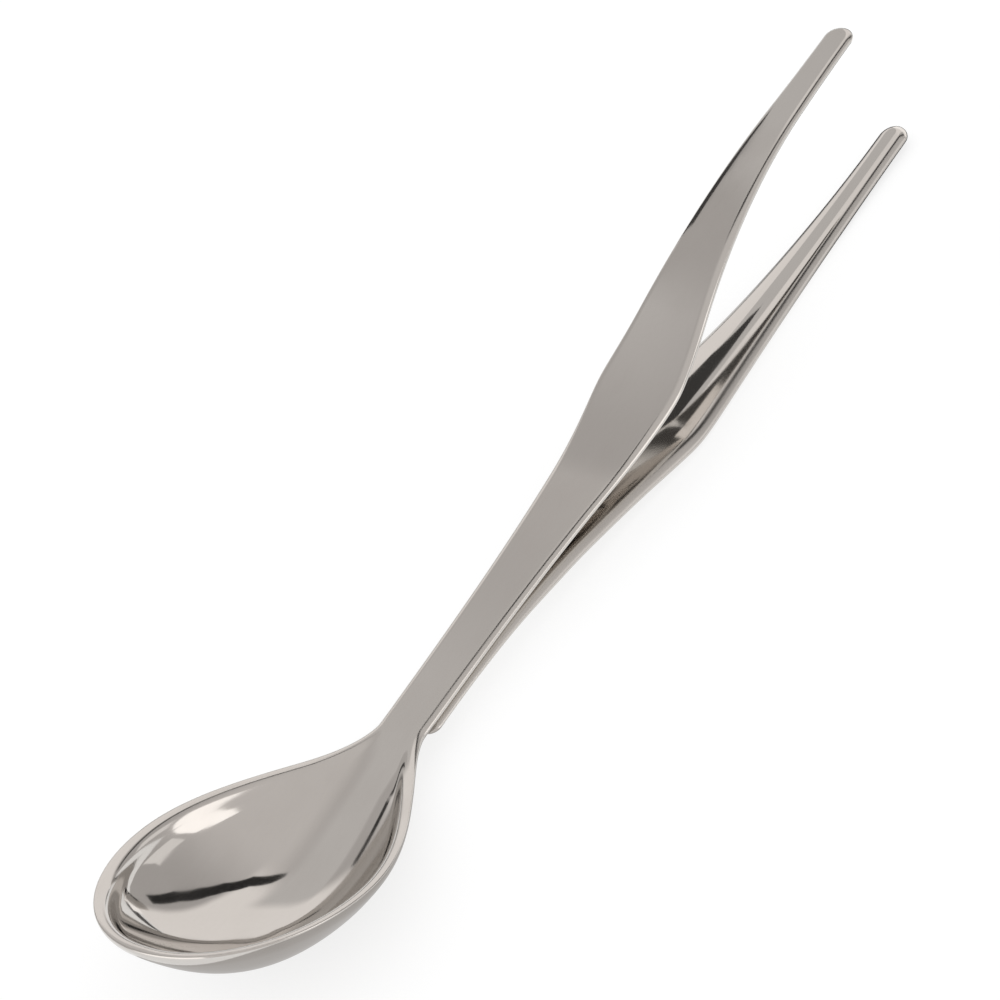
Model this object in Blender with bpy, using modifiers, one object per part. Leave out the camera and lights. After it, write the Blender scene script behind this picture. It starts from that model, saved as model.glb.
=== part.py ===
"""Tasting spoon with a tweezer handle, made from two pressed strips of steel sheet.

The spoon is one pressing: bowl, neck and upper arm. The lower arm is a second strip that is spot
welded under the neck and springs clear of the upper arm, so squeezing the handle closes the tips.
The strip is parted at its flex line, where the arm turns about the Y axis.

Units are metres. +X runs from the bowl to the tips, +Z is up, and the part rests on z = 0 with its
bounding box centred over the origin. Shapes are drawn in the handle's own frame first: x is
measured along the handle from the knee between bowl and neck, and z from the middle of the sheet.
"""

from math import atan, cos, pi, radians, sin, sqrt, tan

import bmesh
import bpy
from mathutils import Vector

MM = 0.001

# Sheet
SPOON_SHEET = 1.4 * MM
ARM_SHEET = 1.4 * MM
SOFT_EDGE = 1.3 * MM  # strip beside each edge that the tumbled rounding takes up
LAP_GAP = 0.3 * MM

# Bowl
BOWL_LENGTH = 55.4 * MM
BOWL_WIDTH = 40.4 * MM
BOWL_DEPTH = 12.1 * MM
BOWL_PITCH = radians(20.0)
WIDEST_SHARE = 0.456  # share of the bowl's length between its front lip and its widest place
SHOULDER_REACH = 5.7 * MM  # how far past the knee the bowl's outline runs out into the neck
KNEE_LENGTH = 11.4 * MM
WALL_POWER = 2.0  # higher is a flatter floor with a steeper wall
SHOULDER_POWER = 1.6
RUNOUT_POWER = 2.0

# Plan of both arms
NECK_WIDTH = 8.3 * MM
GRIP_WIDTH = 15.0 * MM
GRIP_AT = 74.5 * MM
GRIP_ROUND = 1.0 * MM  # what rounding takes off each side of the grip's corner
TIP_WIDTH = 5.0 * MM

# Upper arm
UPPER_LENGTH = 143.5 * MM
RISE_FROM = 56.5 * MM
RISE_STEEPEST = 86.5 * MM
RISE_TO = 124.5 * MM
RISE_SLOPE = 0.361

# Lower arm
LAP_FROM = 7.3 * MM
LAP_CORNER = 2.0 * MM
LOWER_LENGTH = 147.3 * MM
DROP_FROM = 26.0 * MM
DROP_STEEPEST = 50.0 * MM
DROP_SLOPE = 0.182
FLEX_AT = 44.0 * MM
FLEX_GAP = 0.3 * MM

# Spot welds, between the two sheets of the lap
WELD_DIAMETER = 3.4 * MM
WELD_BITE = 0.4 * MM
WELD_CLEARANCE = 0.3 * MM
FRONT_WELD_AT = 13.0 * MM
REAR_WELD_AT = 22.0 * MM

# Fineness of the formed grids
ALONG = 5.0 * MM
SPOON_CELLS = 10
ARM_CELLS = 6

BOWL_REACH = BOWL_LENGTH * cos(BOWL_PITCH)
WIDEST_AT = -BOWL_REACH * (1 - WIDEST_SHARE)
FRONT_REACH = BOWL_REACH * WIDEST_SHARE
REAR_REACH = SHOULDER_REACH - WIDEST_AT
LAP_DROP = (SPOON_SHEET + ARM_SHEET) / 2 + LAP_GAP


def bend(x, start, steepest, end, slope):
    """Height of a strip whose slope grows evenly from start to steepest and dies away at end."""
    first = min(max(x - start, 0.0), steepest - start)
    second = min(max(x - steepest, 0.0), end - steepest)
    rise = first**2 / (2 * (steepest - start))
    rise += second - second**2 / (2 * (end - steepest))
    return slope * rise


def knee(x):
    """Height of the bowl's rim line, which turns into the level handle over the knee."""
    half = KNEE_LENGTH / 2
    if x >= half:
        return 0.0
    if x <= -half:
        return -tan(BOWL_PITCH) * x
    return tan(BOWL_PITCH) * (half - x) ** 2 / (4 * half)


def upper_height(x):
    return knee(x) + bend(x, RISE_FROM, RISE_STEEPEST, RISE_TO, RISE_SLOPE)


def lower_height(x):
    return -LAP_DROP - bend(x, DROP_FROM, DROP_STEEPEST, LOWER_LENGTH, DROP_SLOPE)


def lean(height, x):
    """Angle of a strip's centre line above the handle."""
    step = 0.1 * MM
    return atan((height(x + step) - height(x - step)) / (2 * step))


def arm_half_width(x, length):
    """Half the width of an arm: slim neck, wide grip, slim round tip."""
    corner = (GRIP_WIDTH + GRIP_ROUND) / 2
    swell = NECK_WIDTH / 2 + (corner - NECK_WIDTH / 2) * (max(x, 0.0) / GRIP_AT) ** 3
    left = max(length - x, 0.0) / (length - GRIP_AT)
    taper = TIP_WIDTH / 2 + (corner - TIP_WIDTH / 2) * left**2
    half = (swell + taper - sqrt((swell - taper) ** 2 + GRIP_ROUND**2)) / 2
    into_tip = max(x - (length - TIP_WIDTH / 2), 0.0) / (TIP_WIDTH / 2)
    return half * sqrt(max(1 - into_tip**2, 0.0))


def spoon_half_width(x):
    """Half the width of the spoon, from the bowl's front lip to the tip of the upper arm."""
    if x <= WIDEST_AT:
        ahead = (WIDEST_AT - x) / FRONT_REACH
        return BOWL_WIDTH / 2 * sqrt(max(1 - ahead**2, 0.0))
    handle = arm_half_width(x, UPPER_LENGTH)
    behind = (x - WIDEST_AT) / REAR_REACH
    if behind >= 1:
        return handle
    return handle + (BOWL_WIDTH / 2 - handle) * (1 - behind**2) ** SHOULDER_POWER


def lower_half_width(x):
    """Half the width of the lower strip, whose lapped end has round corners."""
    into_corner = min(max(LAP_FROM + LAP_CORNER - x, 0.0) / LAP_CORNER, 1.0)
    return arm_half_width(x, LOWER_LENGTH) - LAP_CORNER * (1 - sqrt(1 - into_corner**2))


def dish(x, y):
    """Depth of the bowl below its rim, square to the rim."""
    behind = (x - WIDEST_AT) / REAR_REACH
    if behind >= 1:
        return 0.0
    if behind >= 0:
        along = (1 - behind**2) ** RUNOUT_POWER
    else:
        ahead = min((WIDEST_AT - x) / FRONT_REACH, 1.0)
        along = 1 - ahead**WALL_POWER
    across = 1 - min(abs(y) / spoon_half_width(x), 1.0) ** WALL_POWER
    return BOWL_DEPTH * along * across


def spoon_point(x, y):
    tilt = lean(upper_height, x)
    sunk = dish(x, y)
    return Vector((x + sin(tilt) * sunk, y, upper_height(x) - cos(tilt) * sunk))


def lower_point(x, y):
    return Vector((x, y, lower_height(x)))


def spaced(start, end, longest):
    """Even stations from start to end, no further apart than longest, without the last."""
    count = max(int((end - start) / longest + 0.999), 1)
    return [start + (end - start) * i / count for i in range(count)]


def rounded_end(end, radius, degrees):
    """Stations that close in on a round end, at these angles round it."""
    return [end - radius + radius * sin(radians(angle)) for angle in degrees]


def spoon_stations():
    turns = [radians(5 + 85 * i / 9) for i in range(9)]
    front = [WIDEST_AT - FRONT_REACH * cos(turn) for turn in turns]
    rear = spaced(WIDEST_AT, SHOULDER_REACH, 0.6 * ALONG)
    arm = spaced(SHOULDER_REACH, UPPER_LENGTH - TIP_WIDTH / 2, ALONG)
    tip = rounded_end(UPPER_LENGTH, TIP_WIDTH / 2, (0, 30, 55, 78))
    return front + rear + arm + tip


def root_stations():
    lap_end = [2 * LAP_FROM - x for x in rounded_end(LAP_FROM, LAP_CORNER, (90, 60, 30))]
    seam = FLEX_AT - FLEX_GAP / 2
    return lap_end + spaced(LAP_FROM + LAP_CORNER, seam, ALONG) + [seam - 0.25 * MM, seam]


def arm_stations():
    seam = FLEX_AT + FLEX_GAP / 2
    tip = rounded_end(LOWER_LENGTH, TIP_WIDTH / 2, (0, 30, 55, 78))
    free = spaced(seam + 0.25 * MM, LOWER_LENGTH - TIP_WIDTH / 2, ALONG)
    return [seam] + free + tip


def places_across(half, cells):
    """Places across a sheet: one on each edge, one where its rounding starts, the rest even."""
    soft = min(SOFT_EDGE, 0.4 * half)
    flat = half - soft
    inner = [flat * (2 * i / (cells - 2) - 1) for i in range(cells - 1)]
    return [-half] + inner + [half]


def steel(name, colour, roughness):
    material = bpy.data.materials.new(name)
    material.use_nodes = True
    shader = material.node_tree.nodes["Principled BSDF"]
    shader.inputs["Base Color"].default_value = (*colour, 1.0)
    shader.inputs["Metallic"].default_value = 1.0
    shader.inputs["Roughness"].default_value = roughness
    return material


def add_object(name, mesh, collection, parent):
    piece = bpy.data.objects.new(name, mesh)
    collection.objects.link(piece)
    piece.parent = parent
    return piece


def formed_sheet(name, stations, cells, half_width, point, pivot):
    """A flat grid bent to shape by point(x, y), to be thickened evenly to both sides."""
    shape = bmesh.new()
    last = len(stations) - 1
    bmesh.ops.create_grid(shape, x_segments=last, y_segments=cells, size=1.0)
    for vertex in shape.verts:
        x = stations[round((vertex.co.x + 1) / 2 * last)]
        column = round((vertex.co.y + 1) / 2 * cells)
        vertex.co = point(x, places_across(half_width(x), cells)[column]) - pivot
    mesh = bpy.data.meshes.new(name)
    shape.to_mesh(mesh)
    shape.free()
    return mesh


def thicken(piece, thickness):
    sheet = piece.modifiers.new("sheet", "SOLIDIFY")
    sheet.thickness = thickness
    sheet.offset = 0.0
    sheet.use_even_offset = True
    tumbled = piece.modifiers.new("tumbled_edges", "SUBSURF")
    tumbled.levels = 1
    tumbled.render_levels = 1
    piece.data.polygons.foreach_set("use_smooth", [True] * len(piece.data.polygons))


def disc_mesh(name, radius, height, centre, sides=32):
    shape = bmesh.new()
    bmesh.ops.create_cone(
        shape, cap_ends=True, segments=sides, radius1=radius, radius2=radius, depth=height
    )
    bmesh.ops.translate(shape, vec=centre, verts=shape.verts)
    mesh = bpy.data.meshes.new(name)
    shape.to_mesh(mesh)
    shape.free()
    return mesh


def add_weld(name, x, pieces, cutters, frame, sheets):
    """A weld nugget between the sheets, and the pocket for it in each of them."""
    centre = Vector((x, 0.0, -LAP_DROP / 2 + (ARM_SHEET - SPOON_SHEET) / 4))
    height = LAP_GAP + 2 * WELD_BITE
    nugget = disc_mesh(name, WELD_DIAMETER / 2, height, centre)
    piece = add_object(name, nugget, pieces, frame)
    rim = piece.modifiers.new("rounded_rim", "BEVEL")
    rim.width = 0.25 * MM
    rim.segments = 2
    pocket = disc_mesh(
        name + "_pocket",
        WELD_DIAMETER / 2 + WELD_CLEARANCE,
        height + 2 * WELD_CLEARANCE,
        centre,
    )
    cutter = add_object(name + "_pocket", pocket, cutters, frame)
    cutter.hide_render = True
    cutter.display_type = "WIRE"
    for sheet in sheets:
        cut = sheet.modifiers.new(name, "BOOLEAN")
        cut.operation = "DIFFERENCE"
        cut.solver = "EXACT"
        cut.object = cutter
    return piece


def final_points(piece):
    """The finished mesh's points, in the world."""
    finished = piece.evaluated_get(bpy.context.evaluated_depsgraph_get())
    return [finished.matrix_world @ vertex.co for vertex in finished.data.vertices]


def lowest(points, tilt):
    """Lowest height among points after the handle is tilted up by this angle."""
    return min(sin(tilt) * point.x + cos(tilt) * point.z for point in points)


def resting_tilt(bowl, arm):
    """Tilt of the handle at which bowl and lower arm stand on one plane."""
    low, high = -pi / 4, pi / 4
    for _ in range(40):
        middle = (low + high) / 2
        if lowest(bowl, middle) < lowest(arm, middle):
            high = middle
        else:
            low = middle
    return (low + high) / 2


def set_down(frame, pieces):
    """Tilts the part onto its two feet and centres its bounding box over the origin."""
    bpy.context.view_layer.update()
    bowl = final_points(pieces["spoon"])
    arm = final_points(pieces["lower_arm"])
    frame.rotation_euler = (0.0, -resting_tilt(bowl, arm), 0.0)
    bpy.context.view_layer.update()
    points = [point for piece in pieces.values() for point in final_points(piece)]
    middle_x = (min(p.x for p in points) + max(p.x for p in points)) / 2
    frame.location = (-middle_x, 0.0, -min(p.z for p in points))
    bpy.context.view_layer.update()


def build():
    for old in list(bpy.data.objects):
        bpy.data.objects.remove(old, do_unlink=True)
    collection = bpy.data.collections.new("tasting_spoon")
    cutters = bpy.data.collections.new("cutters")
    bpy.context.scene.collection.children.link(collection)
    bpy.context.scene.collection.children.link(cutters)

    frame = add_object("handle_frame", None, collection, None)
    flex_axis = add_object("flex_axis", None, collection, frame)
    flex_axis.location = lower_point(FLEX_AT, 0.0)

    sheets = (
        ("spoon", spoon_stations(), SPOON_CELLS, spoon_half_width, spoon_point, SPOON_SHEET),
        ("lower_arm_root", root_stations(), ARM_CELLS, lower_half_width, lower_point, ARM_SHEET),
        ("lower_arm", arm_stations(), ARM_CELLS, lower_half_width, lower_point, ARM_SHEET),
    )
    pieces = {}
    for name, stations, cells, half_width, point, thickness in sheets:
        moves = name == "lower_arm"
        pivot = flex_axis.location if moves else Vector()
        mesh = formed_sheet(name, stations, cells, half_width, point, pivot)
        pieces[name] = add_object(name, mesh, collection, flex_axis if moves else frame)
        thicken(pieces[name], thickness)

    lapped = (pieces["spoon"], pieces["lower_arm_root"])
    for name, x in (("front_weld", FRONT_WELD_AT), ("rear_weld", REAR_WELD_AT)):
        pieces[name] = add_weld(name, x, collection, cutters, frame, lapped)

    for name, piece in pieces.items():
        welded = name.endswith("_weld")
        colour = (0.42, 0.40, 0.38) if welded else (0.62, 0.60, 0.57)
        piece.data.materials.append(steel(name + "_steel", colour, 0.45 if welded else 0.12))
    set_down(frame, pieces)


build()
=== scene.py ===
"""Tasting spoon with a tweezer handle: the dressed model and its studio, as a Blender add-on.

Two pressed strips of polished steel make the object. Each one is drawn by a Geometry Nodes tree
that forms a flat grid into the middle surface of a sheet, and then skins it with round, tumbled
edges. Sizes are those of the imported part, in metres. Shapes are drawn in the handle's own frame
first: x runs along the handle from the knee between bowl and neck, and z is measured from the
middle of the sheet.
"""

from math import cos, pi, radians, sin

import bpy
from bpy.props import FloatProperty, FloatVectorProperty, IntProperty, PointerProperty
from mathutils import Matrix, Vector


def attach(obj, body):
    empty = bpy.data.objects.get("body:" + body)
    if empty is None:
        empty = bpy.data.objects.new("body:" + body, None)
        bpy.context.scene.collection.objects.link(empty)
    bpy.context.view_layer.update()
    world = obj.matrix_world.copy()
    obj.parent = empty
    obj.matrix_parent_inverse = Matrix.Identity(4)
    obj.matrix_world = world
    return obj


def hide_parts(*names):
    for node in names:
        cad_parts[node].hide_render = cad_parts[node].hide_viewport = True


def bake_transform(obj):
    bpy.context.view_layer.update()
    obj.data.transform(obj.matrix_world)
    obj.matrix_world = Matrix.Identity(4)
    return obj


bl_info = {
    "name": "Tasting Spoon with Tweezer Handle",
    "version": (1, 0, 0),
    "blender": (4, 5, 0),
    "location": "3D View > Sidebar > Tasting Spoon",
    "description": "Builds a tasting spoon whose handle is a pair of spring steel tweezers",
    "category": "Add Mesh",
}

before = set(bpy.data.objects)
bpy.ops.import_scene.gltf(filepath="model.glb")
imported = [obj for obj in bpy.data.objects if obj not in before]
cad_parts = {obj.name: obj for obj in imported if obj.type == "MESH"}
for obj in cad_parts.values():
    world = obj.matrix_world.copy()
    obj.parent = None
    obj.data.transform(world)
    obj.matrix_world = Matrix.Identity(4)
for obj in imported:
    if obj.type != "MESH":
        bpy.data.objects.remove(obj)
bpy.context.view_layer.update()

# Forming
EDGE_STEP = 0.00005  # half the run over which an outline's slope is taken
LEAST_FALL = 1e-6
MERGE_WITHIN = 0.0000008  # joins the two skins of a sheet along its edge
BEAD_PEAK = 6.75  # brings the highest value of t (1 - t)^2 to 1

# Polish, with the features to the metre along x, y and z
POLISH_LINES = (45.0, 2400.0, 2400.0)
POLISH_PATCHES = (70.0, 110.0, 110.0)
POLISH_WAVES = (60.0, 95.0, 95.0)
LINE_HEIGHT = 0.012  # height of the lines beside that of the waves
WORN_REACH = 0.0030  # how far in from an edge the polish is worn
SPOON_WEAR = 0.08
ARM_WEAR = 0.16
WELD_HEAT = (420.0, 420.0, 420.0)
WELD_GRAIN = (5200.0, 5200.0, 5200.0)
WELD_BUMP = 0.00003

# What polished metal sees of the room
FLOOR_REACH = 3.0
BACKWARD = (0.0, 1.0, 0.0)
TIPWARD = (1.0, 0.0, 0.0)
UPWARD = (0.0, 0.0, 1.0)
WINDOW_HIGH = (0.95, 0.05, 0.30)
WINDOW_LOW = (0.90, 0.42, -0.10)
WINDOW_SIDE = (0.114, 0.993, -0.03)
WINDOW_LEVEL = 0.98
CEILING_LEVELS = (0.53, 0.70)
CEILING_SHADE = 0.2
DUSK_LEVEL = 0.2
WHITE = (1.0, 1.0, 1.0, 1.0)
METAL_LIGHT = (1.035, 1.0, 0.98, 1.0)
CARD_LIGHT = (1.0, 0.975, 0.96, 1.0)


def millimetres(name, value, description):
    """A length that a user can change, with its default given in millimetres."""
    return FloatProperty(
        name=name, description=description, default=value / 1000, unit="LENGTH", precision=5
    )


def number(name, value, description, **settings):
    """A plain number that a user can change."""
    return FloatProperty(name=name, description=description, default=value, **settings)


def degrees(name, value, description):
    """An angle that a user can change, with its default given in degrees."""
    return number(name, radians(value), description, subtype="ANGLE")


def colour(name, value, description):
    """A colour that a user can change."""
    return FloatVectorProperty(name=name, description=description, default=value, subtype="COLOR")


def count(name, value, description):
    """A whole number that a user can change."""
    return IntProperty(name=name, description=description, default=value)


class SheetSizes(bpy.types.PropertyGroup):
    """The steel sheet and how its cut edges are rounded."""

    thickness: millimetres("Thickness", 1.4, "Thickness of both sheets")
    tilt: degrees("Tilt", 3.80707, "Angle of the handle above the table, tips up")
    knee_x: millimetres("Knee X", -47.1479, "Place of the knee between bowl and neck")
    knee_z: millimetres("Knee Z", 4.8037, "Height of the knee between bowl and neck")


class PlanSizes(bpy.types.PropertyGroup):
    """The outline that both arms of the handle share."""

    neck_width: millimetres("Neck Width", 8.3, "Width of the handle beside the bowl")
    grip_width: millimetres("Grip Width", 15.0, "Width of the handle at its widest place")
    grip_at: millimetres("Grip At", 74.5, "Distance from the knee to the widest place")
    grip_round: millimetres("Grip Round", 1.0, "What rounding takes off the widest corner")
    tip_width: millimetres("Tip Width", 5.0, "Width of the round tips")


class BowlSizes(bpy.types.PropertyGroup):
    """The bowl of the spoon."""

    bowl_length: millimetres("Bowl Length", 55.3, "Length of the bowl along its rim")
    bowl_width: millimetres("Bowl Width", 40.2, "Width of the bowl")
    bowl_depth: millimetres("Bowl Depth", 11.75, "Depth of the bowl below its rim")
    bowl_pitch: degrees("Bowl Pitch", 20, "Angle of the rim above the handle")
    widest_share: number(
        "Widest Share",
        0.456,
        "Share of the bowl's length between its front lip and its widest place",
        subtype="FACTOR",
    )
    shoulder_reach: millimetres("Shoulder Reach", 5.7, "How far past the knee the bowl runs out")
    knee_length: millimetres("Knee Length", 11.4, "Length of the bend between bowl and neck")
    wall_power: number("Wall Power", 2.3, "Higher is a flatter floor with a steeper wall")
    rim_bead: millimetres("Rim Bead", 0.5, "Extra thickness that gives the rim its broad lip")
    rim_reach: millimetres("Rim Reach", 2.8, "How far the broad lip runs out down the inner wall")
    shoulder_power: number("Shoulder Power", 1.6, "How fast the outline narrows to the neck")
    runout_power: number("Runout Power", 2.0, "How fast the bowl runs out to the neck")


class UpperArmSizes(bpy.types.PropertyGroup):
    """The upper arm, which rises to its tip."""

    edge_round: millimetres("Edge Round", 1.4, "How far the rounding reaches in from the edge")
    upper_length: millimetres("Upper Length", 143.5, "Distance from the knee to the upper tip")
    rise_from: millimetres("Rise From", 56.5, "Where the upper arm starts to rise")
    rise_steepest: millimetres("Rise Steepest", 86.5, "Where the upper arm is steepest")
    rise_to: millimetres("Rise To", 124.5, "Where the upper arm runs level again")
    rise_slope: number("Rise Slope", 0.361, "Steepest slope of the upper arm")


class LowerArmSizes(bpy.types.PropertyGroup):
    """The lower strip, welded under the neck and sprung down to its tip."""

    edge_round: millimetres("Edge Round", 2.2, "How far the rounding reaches in from the edge")
    lap_from: millimetres("Lap From", 7.3, "Distance from the knee to the lapped end of the strip")
    lap_corner: millimetres("Lap Corner", 2.0, "Radius of the corners of the lapped end")
    lap_drop: millimetres("Lap Drop", 1.7, "How far the strip lies below the spoon's sheet")
    lower_length: millimetres("Lower Length", 147.1, "Distance from the knee to the lower tip")
    drop_from: millimetres("Drop From", 26.0, "Where the strip starts to leave the spoon")
    drop_steepest: millimetres("Drop Steepest", 50.0, "Where the strip is steepest")
    drop_slope: number("Drop Slope", 0.182, "Steepest slope of the strip")
    crown: number(
        "Crown", 0.24, "Rise of the strip's middle above its edges, as a share of its half width"
    )
    crown_lift: number(
        "Crown Lift", 0.13, "Rise of the middle above a flat strip, as a share of its half width"
    )
    crown_from: millimetres("Crown From", 14.0, "Where the strip's edges start to turn down")
    lift_from: millimetres("Lift From", 36.0, "Where the strip's middle starts to rise")
    far_from: millimetres("Far From", 80.0, "Where the far edge turns down like the near one")
    crown_run: millimetres("Crown Run", 28.0, "How long the crown takes to reach its full height")
    flex_from: millimetres("Flex From", 28.0, "Where the strip starts to bend when it is squeezed")
    flex_to: millimetres("Flex To", 60.0, "Where the strip ends bending when it is squeezed")


class MeshFineness(bpy.types.PropertyGroup):
    """Points in the grids that the two sheets are formed from."""

    spoon_stations: count("Spoon Stations", 421, "Points along the spoon")
    spoon_columns: count("Spoon Columns", 61, "Points across the spoon")
    arm_stations: count("Arm Stations", 301, "Points along the lower strip")
    arm_columns: count("Arm Columns", 33, "Points across the lower strip")


class SteelFinish(bpy.types.PropertyGroup):
    """Colours and polish of the steel."""

    steel_colour: colour("Steel", (0.632, 0.607, 0.578), "Colour of the polished steel")
    dull_colour: colour("Dull Steel", (0.595, 0.568, 0.538), "Colour of less polished patches")
    roughness: number("Roughness", 0.07, "Roughness of the polished steel", subtype="FACTOR")
    waviness: number(
        "Waviness", 0.000012, "Height of the waves that hand polishing leaves", precision=7
    )
    weld_colour: colour("Weld", (0.42, 0.40, 0.38), "Colour of the bare weld metal")
    heat_colour: colour("Heat Tint", (0.46, 0.31, 0.15), "Straw tint round the welds")


class StudioSettings(bpy.types.PropertyGroup):
    """Floor, light and camera."""

    floor_colour: colour("Floor", (0.28, 0.28, 0.28), "Colour of the table")
    floor_lift: number("Floor Lift", 0.75, "Light of the floor's own, which keeps its shade pale")
    lens: number("Lens", 194.44, "Focal length in millimetres")


class TastingSpoonSettings(bpy.types.PropertyGroup):
    """All settings of the tasting spoon."""

    sheet: PointerProperty(type=SheetSizes)
    plan: PointerProperty(type=PlanSizes)
    bowl: PointerProperty(type=BowlSizes)
    upper: PointerProperty(type=UpperArmSizes)
    lower: PointerProperty(type=LowerArmSizes)
    mesh: PointerProperty(type=MeshFineness)
    steel: PointerProperty(type=SteelFinish)
    studio: PointerProperty(type=StudioSettings)


def numbers_of(group):
    """The plain numbers in a property group."""
    return [p for p in group.bl_rna.properties if p.type in {"FLOAT", "INT"} and not p.is_array]


class Field:
    """A number in a node tree. Arithmetic on it adds Math nodes, so a rule reads as a formula."""

    def __init__(self, tree, socket):
        self.tree = tree
        self.socket = socket

    def __add__(self, other):
        return calculate("ADD", self, other)

    def __radd__(self, other):
        return calculate("ADD", other, self)

    def __sub__(self, other):
        return calculate("SUBTRACT", self, other)

    def __rsub__(self, other):
        return calculate("SUBTRACT", other, self)

    def __mul__(self, other):
        return calculate("MULTIPLY", self, other)

    def __rmul__(self, other):
        return calculate("MULTIPLY", other, self)

    def __truediv__(self, other):
        return calculate("DIVIDE", self, other)

    def __pow__(self, other):
        return calculate("POWER", self, other)

    def __neg__(self):
        return calculate("MULTIPLY", self, -1.0)

    def between(self, low, high):
        return calculate("MINIMUM", calculate("MAXIMUM", self, low), high)

    def at_least(self, low):
        return calculate("MAXIMUM", self, low)

    def squared(self):
        return calculate("MULTIPLY", self, self)

    def root(self):
        return calculate("SQRT", self)

    def size(self):
        return calculate("ABSOLUTE", self)

    def sine(self):
        return calculate("SINE", self)

    def cosine(self):
        return calculate("COSINE", self)

    def tangent(self):
        return calculate("TANGENT", self)

    def angle(self):
        return calculate("ARCTANGENT", self)


def feed(tree, value, socket):
    """Links a field or a socket to this input, or sets the input to a plain value."""
    if isinstance(value, Field):
        tree.links.new(value.socket, socket)
    elif isinstance(value, bpy.types.NodeSocket):
        tree.links.new(value, socket)
    else:
        socket.default_value = value


def calculate(operation, *values):
    """A Math node of this kind on these values."""
    tree = next(value.tree for value in values if isinstance(value, Field))
    node = tree.nodes.new("ShaderNodeMath")
    node.operation = operation
    for value, socket in zip(values, node.inputs):
        feed(tree, value, socket)
    return Field(tree, node.outputs[0])


def add_node(tree, kind, settings=None, **inputs):
    """A node with these settings, its inputs fed by name, with _ in a name for a space."""
    node = tree.nodes.new(kind)
    for name, value in (settings or {}).items():
        setattr(node, name, value)
    for name, value in inputs.items():
        feed(tree, value, node.inputs[name.replace("_", " ")])
    return node


def new_tree(name, kind, inputs):
    """A node group with these named number inputs. Returns the tree and its inputs as fields."""
    tree = bpy.data.node_groups.new(name, kind)
    for title in inputs:
        tree.interface.new_socket(name=title, in_out="INPUT", socket_type="NodeSocketFloat")
    entry = tree.nodes.new("NodeGroupInput")
    return tree, {title: Field(tree, entry.outputs[title]) for title in inputs}


def put_out(tree, **results):
    """Ends a node group with these number outputs, with _ in a name for a space."""
    leave = tree.nodes.new("NodeGroupOutput")
    for name, value in results.items():
        title = name.replace("_", " ")
        tree.interface.new_socket(name=title, in_out="OUTPUT", socket_type="NodeSocketFloat")
        feed(tree, value, leave.inputs[title])


def place_group(group, known, **given):
    """A node group placed in a tree. Inputs that aren't given come from the known fields."""
    tree = next(iter(known.values())).tree
    node = tree.nodes.new("GeometryNodeGroup")
    node.node_tree = group
    for socket in node.inputs:
        feed(tree, given.get(socket.name.replace(" ", "_"), known.get(socket.name)), socket)
    return {socket.name: Field(tree, socket) for socket in node.outputs}


def dot(tree, vector, direction):
    """How far a vector points along a direction."""
    node = add_node(tree, "ShaderNodeVectorMath", {"operation": "DOT_PRODUCT"})
    tree.links.new(vector, node.inputs[0])
    node.inputs[1].default_value = direction
    return Field(tree, node.outputs["Value"])


def ramp(value, low, high, below=0.0, above=1.0):
    """A smooth step from below to above while the value goes from low to high."""
    node = add_node(value.tree, "ShaderNodeMapRange", {"interpolation_type": "SMOOTHSTEP"})
    ends = {"From Min": low, "From Max": high, "To Min": below, "To Max": above}
    for name, end in ends.items():
        feed(value.tree, end, node.inputs[name])
    feed(value.tree, value, node.inputs["Value"])
    return Field(value.tree, node.outputs["Result"])


def mixed(share, first, second):
    return first + (second - first) * share


def titles(*groups):
    return [size.name for group in groups for size in numbers_of(group)]


def strip_bend_group():
    """Height and lean of a strip whose slope grows from Start to Steepest and dies away at End."""
    sizes = ("X", "Start", "Steepest", "End", "Slope")
    tree, given = new_tree("strip_bend", "GeometryNodeTree", sizes)
    onset = given["Steepest"] - given["Start"]
    decay = given["End"] - given["Steepest"]
    first = (given["X"] - given["Start"]).between(0.0, onset)
    second = (given["X"] - given["Steepest"]).between(0.0, decay)
    rise = first.squared() / (2.0 * onset) + second - second.squared() / (2.0 * decay)
    lean = first / onset - second / decay
    put_out(tree, Height=rise * given["Slope"], Lean=lean * given["Slope"])
    return tree


def arm_plan_group():
    """Half width of an arm at X: slim neck, wide grip with a soft corner, slim round tip."""
    sizes = titles(PlanSizes)
    tree, given = new_tree("arm_plan", "GeometryNodeTree", ["X", "Length", *sizes])
    neck = given["Neck Width"] / 2.0
    tip = given["Tip Width"] / 2.0
    soft = given["Grip Round"]
    corner = (given["Grip Width"] + soft) / 2.0
    swell = neck + (corner - neck) * (given["X"].at_least(0.0) / given["Grip At"]) ** 3.0
    left = (given["Length"] - given["X"]).at_least(0.0) / (given["Length"] - given["Grip At"])
    taper = tip + (corner - tip) * left.squared()
    half = (swell + taper - ((swell - taper).squared() + soft.squared()).root()) / 2.0
    into_tip = (given["X"] - given["Length"] + tip).at_least(0.0) / tip
    put_out(tree, Half_Width=half * (1.0 - into_tip.squared()).at_least(0.0).root())
    return tree


def bowl_reaches(given):
    """Where the bowl is widest, and how far it reaches ahead of that place and behind it."""
    reach = given["Bowl Length"] * given["Bowl Pitch"].cosine()
    widest = reach * (given["Widest Share"] - 1.0)
    return widest, reach * given["Widest Share"], given["Shoulder Reach"] - widest


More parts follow.
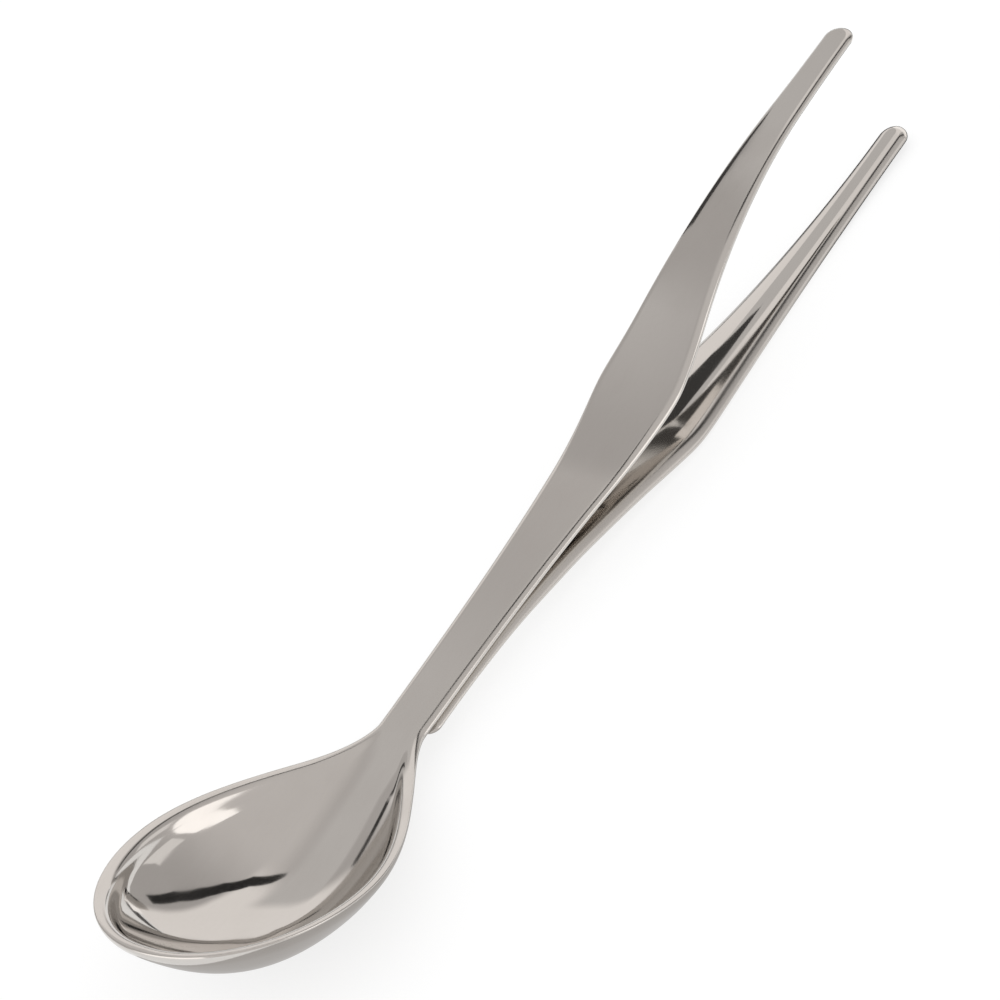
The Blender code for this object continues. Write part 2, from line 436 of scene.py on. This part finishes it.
def spoon_plan_group(arm_plan):
    """Half width of the spoon at X, from the bowl's front lip to the upper tip."""
    sizes = titles(PlanSizes, BowlSizes, UpperArmSizes)
    tree, given = new_tree("spoon_plan", "GeometryNodeTree", ["X", *sizes])
    widest, ahead_reach, behind_reach = bowl_reaches(given)
    handle = place_group(arm_plan, given, Length=given["Upper Length"])["Half Width"]
    ahead = ((widest - given["X"]) / ahead_reach).between(0.0, 1.0)
    behind = ((given["X"] - widest) / behind_reach).between(0.0, 1.0)
    shoulder = (1.0 - behind.squared()) ** given["Shoulder Power"]
    half = handle + (given["Bowl Width"] / 2.0 - handle) * shoulder
    put_out(tree, Half_Width=half * (1.0 - ahead.squared()).at_least(0.0).root())
    return tree


def lower_plan_group(arm_plan):
    """Half width of the lower strip at X. Its lapped end has round corners."""
    sizes = titles(PlanSizes, LowerArmSizes)
    tree, given = new_tree("lower_plan", "GeometryNodeTree", ["X", *sizes])
    arm = place_group(arm_plan, given, Length=given["Lower Length"])["Half Width"]
    corner = given["Lap Corner"]
    into_corner = ((given["Lap From"] + corner - given["X"]) / corner).between(0.0, 1.0)
    put_out(tree, Half_Width=arm - corner * (1.0 - (1.0 - into_corner.squared()).root()))
    return tree


def upper_line_group(strip_bend):
    """Height and lean of the spoon's rim line and upper arm at X."""
    sizes = titles(BowlSizes, UpperArmSizes)
    tree, given = new_tree("upper_line", "GeometryNodeTree", ["X", *sizes])
    half = given["Knee Length"] / 2.0
    steep = given["Bowl Pitch"].tangent()
    turn = (half - given["X"]).between(0.0, 2.0 * half)
    beyond = (-half - given["X"]).at_least(0.0)
    rise = place_group(
        strip_bend,
        given,
        Start=given["Rise From"],
        Steepest=given["Rise Steepest"],
        End=given["Rise To"],
        Slope=given["Rise Slope"],
    )
    height = steep * (turn.squared() / (4.0 * half) + beyond) + rise["Height"]
    put_out(tree, Height=height, Lean=rise["Lean"] - steep * turn / (2.0 * half))
    return tree


def edge_distance(plan, given, x, across):
    """Half width, offset and distance from the outline of a point.

    The distance comes from the slope of half width squared less offset squared.
    """
    width = place_group(plan, given, X=x)["Half Width"]
    before = place_group(plan, given, X=x - EDGE_STEP)["Half Width"]
    after = place_group(plan, given, X=x + EDGE_STEP)["Half Width"]
    offset = width * across
    inside = width.squared() - offset.squared()
    turn = (after.squared() - before.squared()) / (2.0 * EDGE_STEP)
    fall = (turn.squared() + 4.0 * offset.squared()).root()
    return width, offset, inside / fall.at_least(LEAST_FALL)


def start_sheet_tree(name, groups):
    """A tree with a named input for each size, and a grid with its places along and across."""
    sizes = [*titles(*groups), "Stations", "Columns"]
    tree, _ = new_tree(name, "GeometryNodeTree", sizes)
    for socket in tree.interface.items_tree:
        if socket.name in ("Stations", "Columns"):
            socket.socket_type = "NodeSocketInt"
    entry = next(node for node in tree.nodes if node.bl_idname == "NodeGroupInput")
    given = {title: Field(tree, entry.outputs[title]) for title in sizes}
    grid = add_node(
        tree,
        "GeometryNodeMeshGrid",
        Size_X=1.0,
        Size_Y=1.0,
        Vertices_X=given["Stations"],
        Vertices_Y=given["Columns"],
    )
    place = tree.nodes.new("GeometryNodeInputPosition")
    split = add_node(tree, "ShaderNodeSeparateXYZ", Vector=place.outputs[0])
    along = (1.0 - ((Field(tree, split.outputs["X"]) + 0.5) * pi).cosine()) / 2.0
    across = (Field(tree, split.outputs["Y"]) * pi).sine()
    return tree, given, grid.outputs["Mesh"], along, across


def keep_value(tree, mesh, name, value):
    """Stores a number on every point of the mesh."""
    settings = {"data_type": "FLOAT", "domain": "POINT"}
    node = add_node(tree, "GeometryNodeStoreNamedAttribute", settings)
    tree.links.new(mesh, node.inputs["Geometry"])
    node.inputs["Name"].default_value = name
    feed(tree, value, node.inputs["Value"])
    return node.outputs["Geometry"]


def kept_value(tree, name):
    node = add_node(tree, "GeometryNodeInputNamedAttribute", {"data_type": "FLOAT"})
    node.inputs["Name"].default_value = name
    return Field(tree, node.outputs["Attribute"])


def scaled_normal(tree, amount):
    normal = tree.nodes.new("GeometryNodeInputNormal")
    node = add_node(tree, "ShaderNodeVectorMath", {"operation": "SCALE"})
    tree.links.new(normal.outputs["Normal"], node.inputs["Vector"])
    feed(tree, amount, node.inputs["Scale"])
    return node.outputs["Vector"]


def finish_sheet_tree(tree, given, mesh, point, edge, bead, material):
    """Moves the grid to its places, skins it to thickness and sets it down on the table."""
    place = add_node(tree, "ShaderNodeCombineXYZ", X=point[0], Y=point[1], Z=point[2])
    mesh = keep_value(tree, mesh, "edge_distance", edge)
    mesh = keep_value(tree, mesh, "bead", bead)
    formed = add_node(tree, "GeometryNodeSetPosition", Geometry=mesh, Position=place.outputs[0])
    share = (kept_value(tree, "edge_distance") / given["Edge Round"]).between(0.0, 1.0)
    fullness = (1.0 - (1.0 - share).squared()).at_least(0.0).root()
    skins = add_node(tree, "GeometryNodeJoinGeometry")
    for side in (0.5, -0.5):
        reach = fullness * given["Thickness"] * side
        offset = scaled_normal(tree, reach + kept_value(tree, "bead") if side > 0 else reach)
        skin = add_node(
            tree, "GeometryNodeSetPosition", Geometry=formed.outputs["Geometry"], Offset=offset
        ).outputs["Geometry"]
        if side < 0:
            skin = add_node(tree, "GeometryNodeFlipFaces", Mesh=skin).outputs["Mesh"]
        tree.links.new(skin, skins.inputs["Geometry"])
    closed = add_node(
        tree,
        "GeometryNodeMergeByDistance",
        Geometry=skins.outputs["Geometry"],
        Distance=MERGE_WITHIN,
    )
    smooth = add_node(tree, "GeometryNodeSetShadeSmooth", Geometry=closed.outputs["Geometry"])
    turn = add_node(tree, "ShaderNodeCombineXYZ", Y=-given["Tilt"])
    move = add_node(tree, "ShaderNodeCombineXYZ", X=given["Knee X"], Z=given["Knee Z"])
    down = add_node(
        tree,
        "GeometryNodeTransform",
        Geometry=smooth.outputs["Geometry"],
        Translation=move.outputs[0],
        Rotation=turn.outputs[0],
    )
    whole = add_node(tree, "GeometryNodeRealizeInstances", Geometry=down.outputs["Geometry"])
    coat = add_node(tree, "GeometryNodeSetMaterial", Geometry=whole.outputs["Geometry"])
    coat.inputs["Material"].default_value = material
    tree.interface.new_socket(name="Geometry", in_out="OUTPUT", socket_type="NodeSocketGeometry")
    leave = tree.nodes.new("NodeGroupOutput")
    tree.links.new(coat.outputs["Geometry"], leave.inputs["Geometry"])


def spoon_tree(material):
    """The spoon: bowl, neck and upper arm in one pressing."""
    arm_plan = arm_plan_group()
    plan = spoon_plan_group(arm_plan)
    line = upper_line_group(strip_bend_group())
    groups = (SheetSizes, PlanSizes, BowlSizes, UpperArmSizes)
    tree, given, mesh, along, across = start_sheet_tree("spoon_pressing", groups)
    widest, ahead_reach, behind_reach = bowl_reaches(given)
    front = widest - ahead_reach
    x = front + (given["Upper Length"] - front) * along
    _, offset, edge = edge_distance(plan, given, x, across)
    ahead = ((widest - x) / ahead_reach).between(0.0, 1.0)
    behind = ((x - widest) / behind_reach).between(0.0, 1.0)
    lengthwise = (1.0 - behind.squared()) ** given["Runout Power"]
    lengthwise = lengthwise * (1.0 - ahead ** given["Wall Power"])
    dish = given["Bowl Depth"] * lengthwise * (1.0 - across.size() ** given["Wall Power"])
    rim = place_group(line, given, X=x)
    lean = rim["Lean"].angle()
    point = (x + lean.sine() * dish, offset, rim["Height"] - lean.cosine() * dish)
    inward = (edge / given["Rim Reach"]).between(0.0, 1.0)
    lip = BEAD_PEAK * inward * (1.0 - inward).squared()
    bead = given["Rim Bead"] * lip * (1.0 - behind.squared())
    finish_sheet_tree(tree, given, mesh, point, edge, bead, material)
    return tree


def lower_arm_tree(material):
    """The lower strip, from its lapped end under the neck to its tip."""
    plan = lower_plan_group(bpy.data.node_groups["arm_plan"])
    groups = (SheetSizes, PlanSizes, LowerArmSizes)
    tree, given, mesh, along, across = start_sheet_tree("lower_strip", groups)
    x = given["Lap From"] + (given["Lower Length"] - given["Lap From"]) * along
    width, offset, edge = edge_distance(plan, given, x, across)
    edge = calculate("MINIMUM", edge, x - given["Lap From"])
    drop = place_group(
        bpy.data.node_groups["strip_bend"],
        given,
        X=x,
        Start=given["Drop From"],
        Steepest=given["Drop Steepest"],
        End=given["Lower Length"],
        Slope=given["Drop Slope"],
    )
    run = given["Crown Run"]
    lifted = given["Crown Lift"] * ramp(x, given["Lift From"], given["Lift From"] + run)
    near = given["Crown"] * ramp(x, given["Crown From"], given["Crown From"] + run)
    far = mixed(ramp(x, given["Far From"], given["Far From"] + run), lifted, given["Crown"])
    turned = mixed(calculate("GREATER_THAN", across, 0.0), near, far)
    crown = width * (lifted - turned * across.squared())
    point = (x, offset, crown - given["Lap Drop"] - drop["Height"])
    finish_sheet_tree(tree, given, mesh, point, edge, 0.0, material)
    return tree


def formed_piece(name, tree, groups, stations, columns):
    """Runs a sheet's tree with these sizes and keeps the result as a plain mesh at the origin."""
    piece = bpy.data.objects.new(name, bpy.data.meshes.new(name))
    bpy.context.scene.collection.objects.link(piece)
    former = piece.modifiers.new("form", "NODES")
    former.node_group = tree
    values = {"Stations": stations, "Columns": columns}
    for group in groups:
        for size in numbers_of(group):
            values[size.name] = getattr(group, size.identifier)
    for socket in tree.interface.items_tree:
        if socket.in_out == "INPUT":
            former[socket.identifier] = values[socket.name]
    bpy.context.view_layer.update()
    graph = bpy.context.evaluated_depsgraph_get()
    formed = bpy.data.meshes.new_from_object(
        piece.evaluated_get(graph), preserve_all_data_layers=True, depsgraph=graph
    )
    if not formed.polygons:
        raise RuntimeError(f"{name} was formed with no faces")
    piece.modifiers.remove(former)
    piece.data = formed
    formed.name = name
    return piece


def new_material(name):
    material = bpy.data.materials.new(name)
    material.use_nodes = True
    return material, material.node_tree, material.node_tree.nodes["Principled BSDF"]


def noise(tree, place, stretch, detail):
    """Noise between 0 and 1, with this many features to the metre along x, y and z."""
    scaled = add_node(tree, "ShaderNodeVectorMath", {"operation": "MULTIPLY"})
    tree.links.new(place, scaled.inputs[0])
    scaled.inputs[1].default_value = stretch
    cloud = add_node(tree, "ShaderNodeTexNoise", Vector=scaled.outputs[0], Scale=1.0, Detail=detail)
    return Field(tree, cloud.outputs["Fac"])


def new_effect(name, inputs, outputs):
    """A shader node group with these sockets. Returns the tree, its inputs and its output node."""
    tree = bpy.data.node_groups.new(name, "ShaderNodeTree")
    for title, kind in inputs.items():
        tree.interface.new_socket(name=title, in_out="INPUT", socket_type=kind)
    for title, kind in outputs.items():
        tree.interface.new_socket(name=title, in_out="OUTPUT", socket_type=kind)
    return tree, tree.nodes.new("NodeGroupInput").outputs, tree.nodes.new("NodeGroupOutput").inputs


def polish_group():
    """Hand polish: lines along the sheet, a slight waviness, cloudy patches and worn edges."""
    if "hand_polish" in bpy.data.node_groups:
        return bpy.data.node_groups["hand_polish"]
    paint, amount = "NodeSocketColor", "NodeSocketFloat"
    inputs = {"Bright": paint, "Dull": paint, "Roughness": amount, "Wear": amount}
    outputs = {"Colour": paint, "Roughness": amount, "Height": amount}
    tree, given, result = new_effect("hand_polish", inputs, outputs)
    place = tree.nodes.new("ShaderNodeTexCoord").outputs["Object"]
    lines = noise(tree, place, POLISH_LINES, 3.0)
    patches = noise(tree, place, POLISH_PATCHES, 3.0)
    waves = noise(tree, place, POLISH_WAVES, 1.0)
    edge = add_node(tree, "ShaderNodeAttribute", {"attribute_name": "edge_distance"})
    worn = ramp(Field(tree, edge.outputs["Fac"]), WORN_REACH, 0.0)
    dull = ramp(patches, 0.42, 0.70)
    rough = Field(tree, given["Roughness"]) * (0.55 + 0.5 * lines + 0.7 * dull)
    feed(tree, rough + Field(tree, given["Wear"]) * worn, result["Roughness"])
    shade = add_node(tree, "ShaderNodeMix", {"data_type": "RGBA"})
    feed(tree, (0.55 * dull + 0.45 * lines).between(0.0, 1.0), shade.inputs["Factor"])
    tree.links.new(given["Bright"], shade.inputs[6])
    tree.links.new(given["Dull"], shade.inputs[7])
    tree.links.new(shade.outputs[2], result["Colour"])
    feed(tree, waves + LINE_HEIGHT * lines, result["Height"])
    return tree


def polished_steel(name, finish, wear):
    material, tree, shader = new_material(name)
    polish = add_node(
        tree,
        "ShaderNodeGroup",
        {"node_tree": polish_group()},
        Roughness=finish.roughness,
        Wear=wear,
    )
    polish.inputs["Bright"].default_value = (*finish.steel_colour, 1.0)
    polish.inputs["Dull"].default_value = (*finish.dull_colour, 1.0)
    height = polish.outputs["Height"]
    bump = add_node(tree, "ShaderNodeBump", Distance=finish.waviness, Height=height)
    tree.links.new(polish.outputs["Colour"], shader.inputs["Base Color"])
    tree.links.new(polish.outputs["Roughness"], shader.inputs["Roughness"])
    tree.links.new(bump.outputs["Normal"], shader.inputs["Normal"])
    shader.inputs["Metallic"].default_value = 1.0
    return material


def weld_steel(finish):
    """Cast metal of a spot weld, grainy, with straw heat tint in patches."""
    material, tree, shader = new_material("weld_steel")
    place = tree.nodes.new("ShaderNodeTexCoord").outputs["Object"]
    heat = noise(tree, place, WELD_HEAT, 2.0)
    grain = noise(tree, place, WELD_GRAIN, 3.0)
    tint = add_node(tree, "ShaderNodeMix", {"data_type": "RGBA"})
    feed(tree, ramp(heat, 0.40, 0.66), tint.inputs["Factor"])
    tint.inputs[6].default_value = (*finish.weld_colour, 1.0)
    tint.inputs[7].default_value = (*finish.heat_colour, 1.0)
    tree.links.new(tint.outputs[2], shader.inputs["Base Color"])
    feed(tree, 0.34 + 0.24 * grain, shader.inputs["Roughness"])
    bump = add_node(tree, "ShaderNodeBump", Distance=WELD_BUMP, Height=grain)
    tree.links.new(bump.outputs["Normal"], shader.inputs["Normal"])
    shader.inputs["Metallic"].default_value = 1.0
    return material


class MakeSpoon(bpy.types.Operator):
    """Form the bowl, neck and upper arm from one sheet"""

    bl_idname = "tasting_spoon.make_spoon"
    bl_label = "Spoon and Upper Arm"

    def execute(self, context):
        settings = context.scene.tasting_spoon
        tree = spoon_tree(polished_steel("spoon_steel", settings.steel, SPOON_WEAR))
        groups = (settings.sheet, settings.plan, settings.bowl, settings.upper)
        fineness = settings.mesh
        piece = formed_piece(
            "spoon_pressing", tree, groups, fineness.spoon_stations, fineness.spoon_columns
        )
        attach(piece, "spoon")
        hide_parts("spoon")
        return {"FINISHED"}


class MakeLowerArm(bpy.types.Operator):
    """Form the lower arm, one strip from its lapped end to its tip"""

    bl_idname = "tasting_spoon.make_lower_arm"
    bl_label = "Lower Arm"

    def execute(self, context):
        settings = context.scene.tasting_spoon
        tree = lower_arm_tree(polished_steel("arm_steel", settings.steel, ARM_WEAR))
        groups = (settings.sheet, settings.plan, settings.lower)
        fineness = settings.mesh
        piece = formed_piece(
            "lower_strip", tree, groups, fineness.arm_stations, fineness.arm_columns
        )
        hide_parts("lower_arm_root", "lower_arm")
        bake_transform(piece)
        return {"FINISHED"}


class FinishWelds(bpy.types.Operator):
    """Give the two weld nuggets their heat-tinted metal"""

    bl_idname = "tasting_spoon.finish_welds"
    bl_label = "Spot Welds"

    def execute(self, context):
        material = weld_steel(context.scene.tasting_spoon.steel)
        for name in ("front_weld", "rear_weld"):
            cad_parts[name].data.materials.clear()
            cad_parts[name].data.materials.append(material)
        return {"FINISHED"}


class SetStage(bpy.types.Operator):
    """Lay the floor, light the set and place the camera"""

    bl_idname = "tasting_spoon.set_stage"
    bl_label = "Studio"

    def execute(self, context):
        studio = context.scene.tasting_spoon.studio
        lay_floor(studio)
        light_set(context.scene)
        hang_cards()
        place_camera(context.scene, studio)
        context.scene.view_settings.view_transform = "Standard"
        return {"FINISHED"}


def lay_floor(studio):
    """A plain pale table with a light of its own, so that only deep shade shows on it."""
    mesh = bpy.data.meshes.new("floor")
    reach = FLOOR_REACH
    corners = [(-reach, -reach, 0), (reach, -reach, 0), (reach, reach, 0), (-reach, reach, 0)]
    mesh.from_pydata(corners, [], [(0, 1, 2, 3)])
    floor = bpy.data.objects.new("floor", mesh)
    bpy.context.scene.collection.objects.link(floor)
    material, tree, shader = new_material("floor_white")
    tree.nodes.remove(shader)
    path = tree.nodes.new("ShaderNodeLightPath")
    seen = Field(tree, path.outputs["Is Camera Ray"]) + Field(tree, path.outputs["Is Glossy Ray"])
    seen = seen + Field(tree, path.outputs["Is Transmission Ray"])
    paint = add_node(tree, "ShaderNodeBsdfDiffuse", Color=(*studio.floor_colour, 1.0))
    lift = add_node(
        tree, "ShaderNodeEmission", Color=WHITE, Strength=seen * studio.floor_lift
    )
    both = tree.nodes.new("ShaderNodeAddShader")
    tree.links.new(paint.outputs[0], both.inputs[0])
    tree.links.new(lift.outputs[0], both.inputs[1])
    tree.links.new(both.outputs[0], tree.nodes["Material Output"].inputs["Surface"])
    mesh.materials.append(material)


def light_set(scene):
    """White surround. Metal sees a grey ceiling, a bright window and a dark room low down."""
    world = bpy.data.worlds.new("studio")
    scene.world = world
    world.use_nodes = True
    tree = world.node_tree
    way = tree.nodes.new("ShaderNodeTexCoord").outputs["Generated"]
    path = tree.nodes.new("ShaderNodeLightPath")
    glossy = Field(tree, path.outputs["Is Glossy Ray"])
    behind = dot(tree, way, BACKWARD)
    aside = dot(tree, way, TIPWARD)
    high = ramp(dot(tree, way, WINDOW_HIGH), 0.58, 0.82)
    low = ramp(dot(tree, way, WINDOW_LOW), 0.60, 0.69)
    side = ramp(dot(tree, way, WINDOW_SIDE), -0.02, 0.08)
    window = (1.0 - (1.0 - high) * (1.0 - low)) * side
    shade = CEILING_SHADE * ramp(aside, 0.20, 0.85) * ramp(behind, 0.10, -0.10)
    ceiling = ramp(behind, 0.58, 0.10, *CEILING_LEVELS) - shade
    level = mixed(window, ceiling, WINDOW_LEVEL)
    low_down = ramp(dot(tree, way, UPWARD), 0.17, 0.03)
    dusk = low_down * ramp(behind, -0.35, -0.10) * ramp(aside, 0.96, 0.84)
    level = mixed(dusk, level, DUSK_LEVEL)
    tint = add_node(tree, "ShaderNodeMix", {"data_type": "RGBA"})
    feed(tree, glossy, tint.inputs[0])
    tint.inputs[6].default_value = WHITE
    tint.inputs[7].default_value = METAL_LIGHT
    light = tree.nodes["Background"]
    tree.links.new(tint.outputs[2], light.inputs["Color"])
    feed(tree, mixed(glossy, 1.0, level), light.inputs["Strength"])


# Boards stand on a line in plan through this place, and turn away from the handle by this slope.
BOARD_X = 0.058
BOARD_Y = 0.0215
BOARD_TURN = 0.25
BOARD_GAP = 0.0003
SHADE_SHEET_HEIGHT = 0.0003


def upright(outline, gap=0.0):
    """Corners of a board that stands behind the tips, from places along the part and heights."""
    return [(x, BOARD_Y + gap + BOARD_TURN * (x - BOARD_X), z) for x, z in outline]


def on_floor(outline):
    """Corners of a sheet of painted shade on the floor."""
    return [(x, y, SHADE_SHEET_HEIGHT) for x, y in outline]


# Corners of each flat card
CARDS = {
    "front_box": (
        (0.192, -0.397, 0.358),
        (0.018, -0.376, 0.455),
        (-0.041, -0.475, 0.352),
        (-0.045, -0.571, 0.133),
        (0.199, -0.519, 0.062),
    ),
    "right_box": (
        (0.254, -0.385, 0.318),
        (0.413, -0.281, 0.209),
        (0.430, -0.316, 0.046),
        (0.252, -0.472, 0.148),
    ),
    "left_box": (
        (-0.60, 0.45, 0.02),
        (-0.60, -0.26, 0.02),
        (-0.36, -0.18, 0.80),
        (-0.36, 0.30, 0.80),
    ),
    "neck_card": (
        (-0.090, 0.045, 0.12),
        (-0.090, 0.200, 0.12),
        (0.058, 0.200, 0.12),
        (0.058, 0.045, 0.12),
    ),
    "tip_card": (
        (0.116, -0.014, 0.0),
        (0.116, 0.014, 0.0),
        (0.118, 0.014, 0.012),
        (0.118, -0.014, 0.012),
    ),
    # Painted shade: a grey sheet on the floor under the bowl, seen only by polished metal, for the
    # shade that falls there.
    "shade_card": on_floor(
        ((-0.112, -0.070), (-0.035, -0.070), (-0.035, 0.015), (-0.100, 0.015))
    ),
    "back_wall": (
        (0.070, 0.560, 0.140),
        (0.125, 0.543, 0.140),
        (0.125, 0.543, 0.195),
        (0.070, 0.560, 0.195),
    ),
    # Painted shade: a dark board behind the tips, seen only by polished metal, so that the arms'
    # inner faces reflect shade between the arms.
    "dark_board": upright(
        (
            (0.057, 0.0180),
            (0.060, 0.0200),
            (0.068, 0.0225),
            (0.076, 0.0280),
            (0.088, 0.0370),
            (0.098, 0.0480),
            (0.098, 0.0620),
            (0.092, 0.0610),
            (0.084, 0.0595),
            (0.076, 0.0570),
            (0.065, 0.0510),
            (0.057, 0.0460),
        )
    ),
    "grey_board": upright(
        ((0.064, 0.026), (0.180, 0.026), (0.180, 0.115), (0.064, 0.090)), BOARD_GAP
    ),
    # Painted shade: a dark sheet on the floor under and beside the arms, seen only by polished
    # metal, for the shade that falls there.
    "dark_mat": on_floor(
        (
            (0.050, -0.006),
            (0.160, -0.010),
            (0.420, 0.060),
            (0.420, 0.160),
            (0.110, 0.045),
            (0.050, 0.012),
        )
    ),
}

# Places and widths along the frame of the window, which faces the bowl
WINDOW_FRAME = (
    ((0.351, -0.071, 0.081), 0.036),
    ((0.317, -0.093, 0.188), 0.050),
    ((0.282, -0.074, 0.261), 0.056),
    ((0.223, -0.044, 0.336), 0.058),
    ((0.156, 0.032, 0.390), 0.054),
    ((0.116, 0.138, 0.389), 0.036),
    ((0.096, 0.179, 0.382), 0.012),
)
BOWL_MIDDLE = Vector((-0.07, 0.0, 0.005))

# How bright each card is
CARD_LEVELS = {
    "front_box": 1.6,
    "right_box": 0.95,
    "left_box": 1.5,
    "neck_card": 0.68,
    "tip_card": 1.3,
    "shade_card": 0.55,
    "window_frame": 0.03,
    "back_wall": 0.05,
    "dark_board": 0.055,
    "grey_board": 0.66,
    "dark_mat": 0.10,
}

# Soft edges of some cards: an axis, where the card is clear and where it is full
CARD_FADES = {
    "neck_card": (
        ("X", -0.090, -0.055),
        ("X", 0.058, 0.023),
        ("Y", 0.045, 0.080),
        ("Y", 0.200, 0.165),
    ),
    "dark_board": (("X", 0.055, 0.058),),
    "grey_board": (("X", 0.064, 0.085),),
    "dark_mat": (("X", 0.045, 0.085),),
}


def hang_card(name, verts, faces):
    """A card that only polished metal sees. One with soft edges shows on its front side only."""
    fades = CARD_FADES.get(name, ())
    mesh = bpy.data.meshes.new(name)
    mesh.from_pydata([tuple(vert) for vert in verts], [], faces)
    card = bpy.data.objects.new(name, mesh)
    bpy.context.scene.collection.objects.link(card)
    material, tree, shader = new_material(name)
    tree.nodes.remove(shader)
    glow = add_node(tree, "ShaderNodeEmission", Color=CARD_LIGHT, Strength=CARD_LEVELS[name])
    light = glow.outputs[0]
    if fades:
        place = add_node(tree, "ShaderNodeSeparateXYZ")
        tree.links.new(tree.nodes.new("ShaderNodeTexCoord").outputs["Object"], place.inputs[0])
        share = 1.0 - Field(tree, tree.nodes.new("ShaderNodeNewGeometry").outputs["Backfacing"])
        for axis, clear_at, full_at in fades:
            share = share * ramp(Field(tree, place.outputs[axis]), clear_at, full_at)
        clear = tree.nodes.new("ShaderNodeBsdfTransparent").outputs[0]
        both = tree.nodes.new("ShaderNodeMixShader")
        feed(tree, share, both.inputs[0])
        tree.links.new(clear, both.inputs[1])
        tree.links.new(light, both.inputs[2])
        light = both.outputs[0]
    tree.links.new(light, tree.nodes["Material Output"].inputs["Surface"])
    mesh.materials.append(material)
    card.visible_camera = False
    card.visible_diffuse = False
    card.visible_shadow = False


def ribbon(line, centre):
    """Points and faces of a narrow card along a line of places and widths, facing a centre."""
    points = [Vector(place) for place, _ in line]
    verts = []
    faces = []
    for i, (_, width) in enumerate(line):
        along = points[min(i + 1, len(points) - 1)] - points[max(i - 1, 0)]
        side = along.cross(points[i] - centre).normalized() * (width / 2)
        verts.extend((points[i] - side, points[i] + side))
        if i:
            faces.append((2 * i - 2, 2 * i - 1, 2 * i + 1, 2 * i))
    return verts, faces


def hang_cards():
    """Soft boxes for the highlights, cards and boards beside the part, among them a board of
    painted shade, and sheets of painted shade on the floor.
    """
    for name, corners in CARDS.items():
        hang_card(name, corners, [tuple(range(len(corners)))])
    hang_card("window_frame", *ribbon(WINDOW_FRAME, BOWL_MIDDLE))


def place_camera(scene, studio):
    camera = bpy.data.cameras.new("camera")
    camera.lens = studio.lens
    camera.sensor_width = 36.0
    camera.clip_start = 0.01
    camera.clip_end = 20.0
    seat = bpy.data.objects.new("camera", camera)
    scene.collection.objects.link(seat)
    right = Vector((0.54171818, -0.79149227, -0.28298653))
    up = Vector((0.67075857, 0.20415324, 0.71302478))
    back = Vector((-0.50658098, -0.57607416, 0.64149375))
    turned = Matrix((right, up, back)).transposed().to_4x4()
    turned.translation = (-0.4093809, -0.457117, 0.52923974)
    seat.matrix_world = turned
    scene.camera = seat


class TastingSpoonPanel(bpy.types.Panel):
    """Lists the steps that build the tasting spoon"""

    bl_idname = "VIEW3D_PT_tasting_spoon"
    bl_label = "Tasting Spoon"
    bl_space_type = "VIEW_3D"
    bl_region_type = "UI"
    bl_category = "Tasting Spoon"

    def draw(self, context):
        for operator in OPERATORS:
            self.layout.operator(operator.bl_idname)


OPERATORS = (MakeSpoon, MakeLowerArm, FinishWelds, SetStage)
CLASSES = (
    SheetSizes,
    PlanSizes,
    BowlSizes,
    UpperArmSizes,
    LowerArmSizes,
    MeshFineness,
    SteelFinish,
    StudioSettings,
    TastingSpoonSettings,
    *OPERATORS,
    TastingSpoonPanel,
)


def register():
    for item in CLASSES:
        bpy.utils.register_class(item)
    bpy.types.Scene.tasting_spoon = PointerProperty(type=TastingSpoonSettings)


def unregister():
    del bpy.types.Scene.tasting_spoon
    for item in reversed(CLASSES):
        bpy.utils.unregister_class(item)


def main():
    register()
    bpy.ops.tasting_spoon.make_spoon()
    bpy.ops.tasting_spoon.make_lower_arm()
    bpy.ops.tasting_spoon.finish_welds()
    bpy.ops.tasting_spoon.set_stage()


if __name__ == "__main__":
    main()
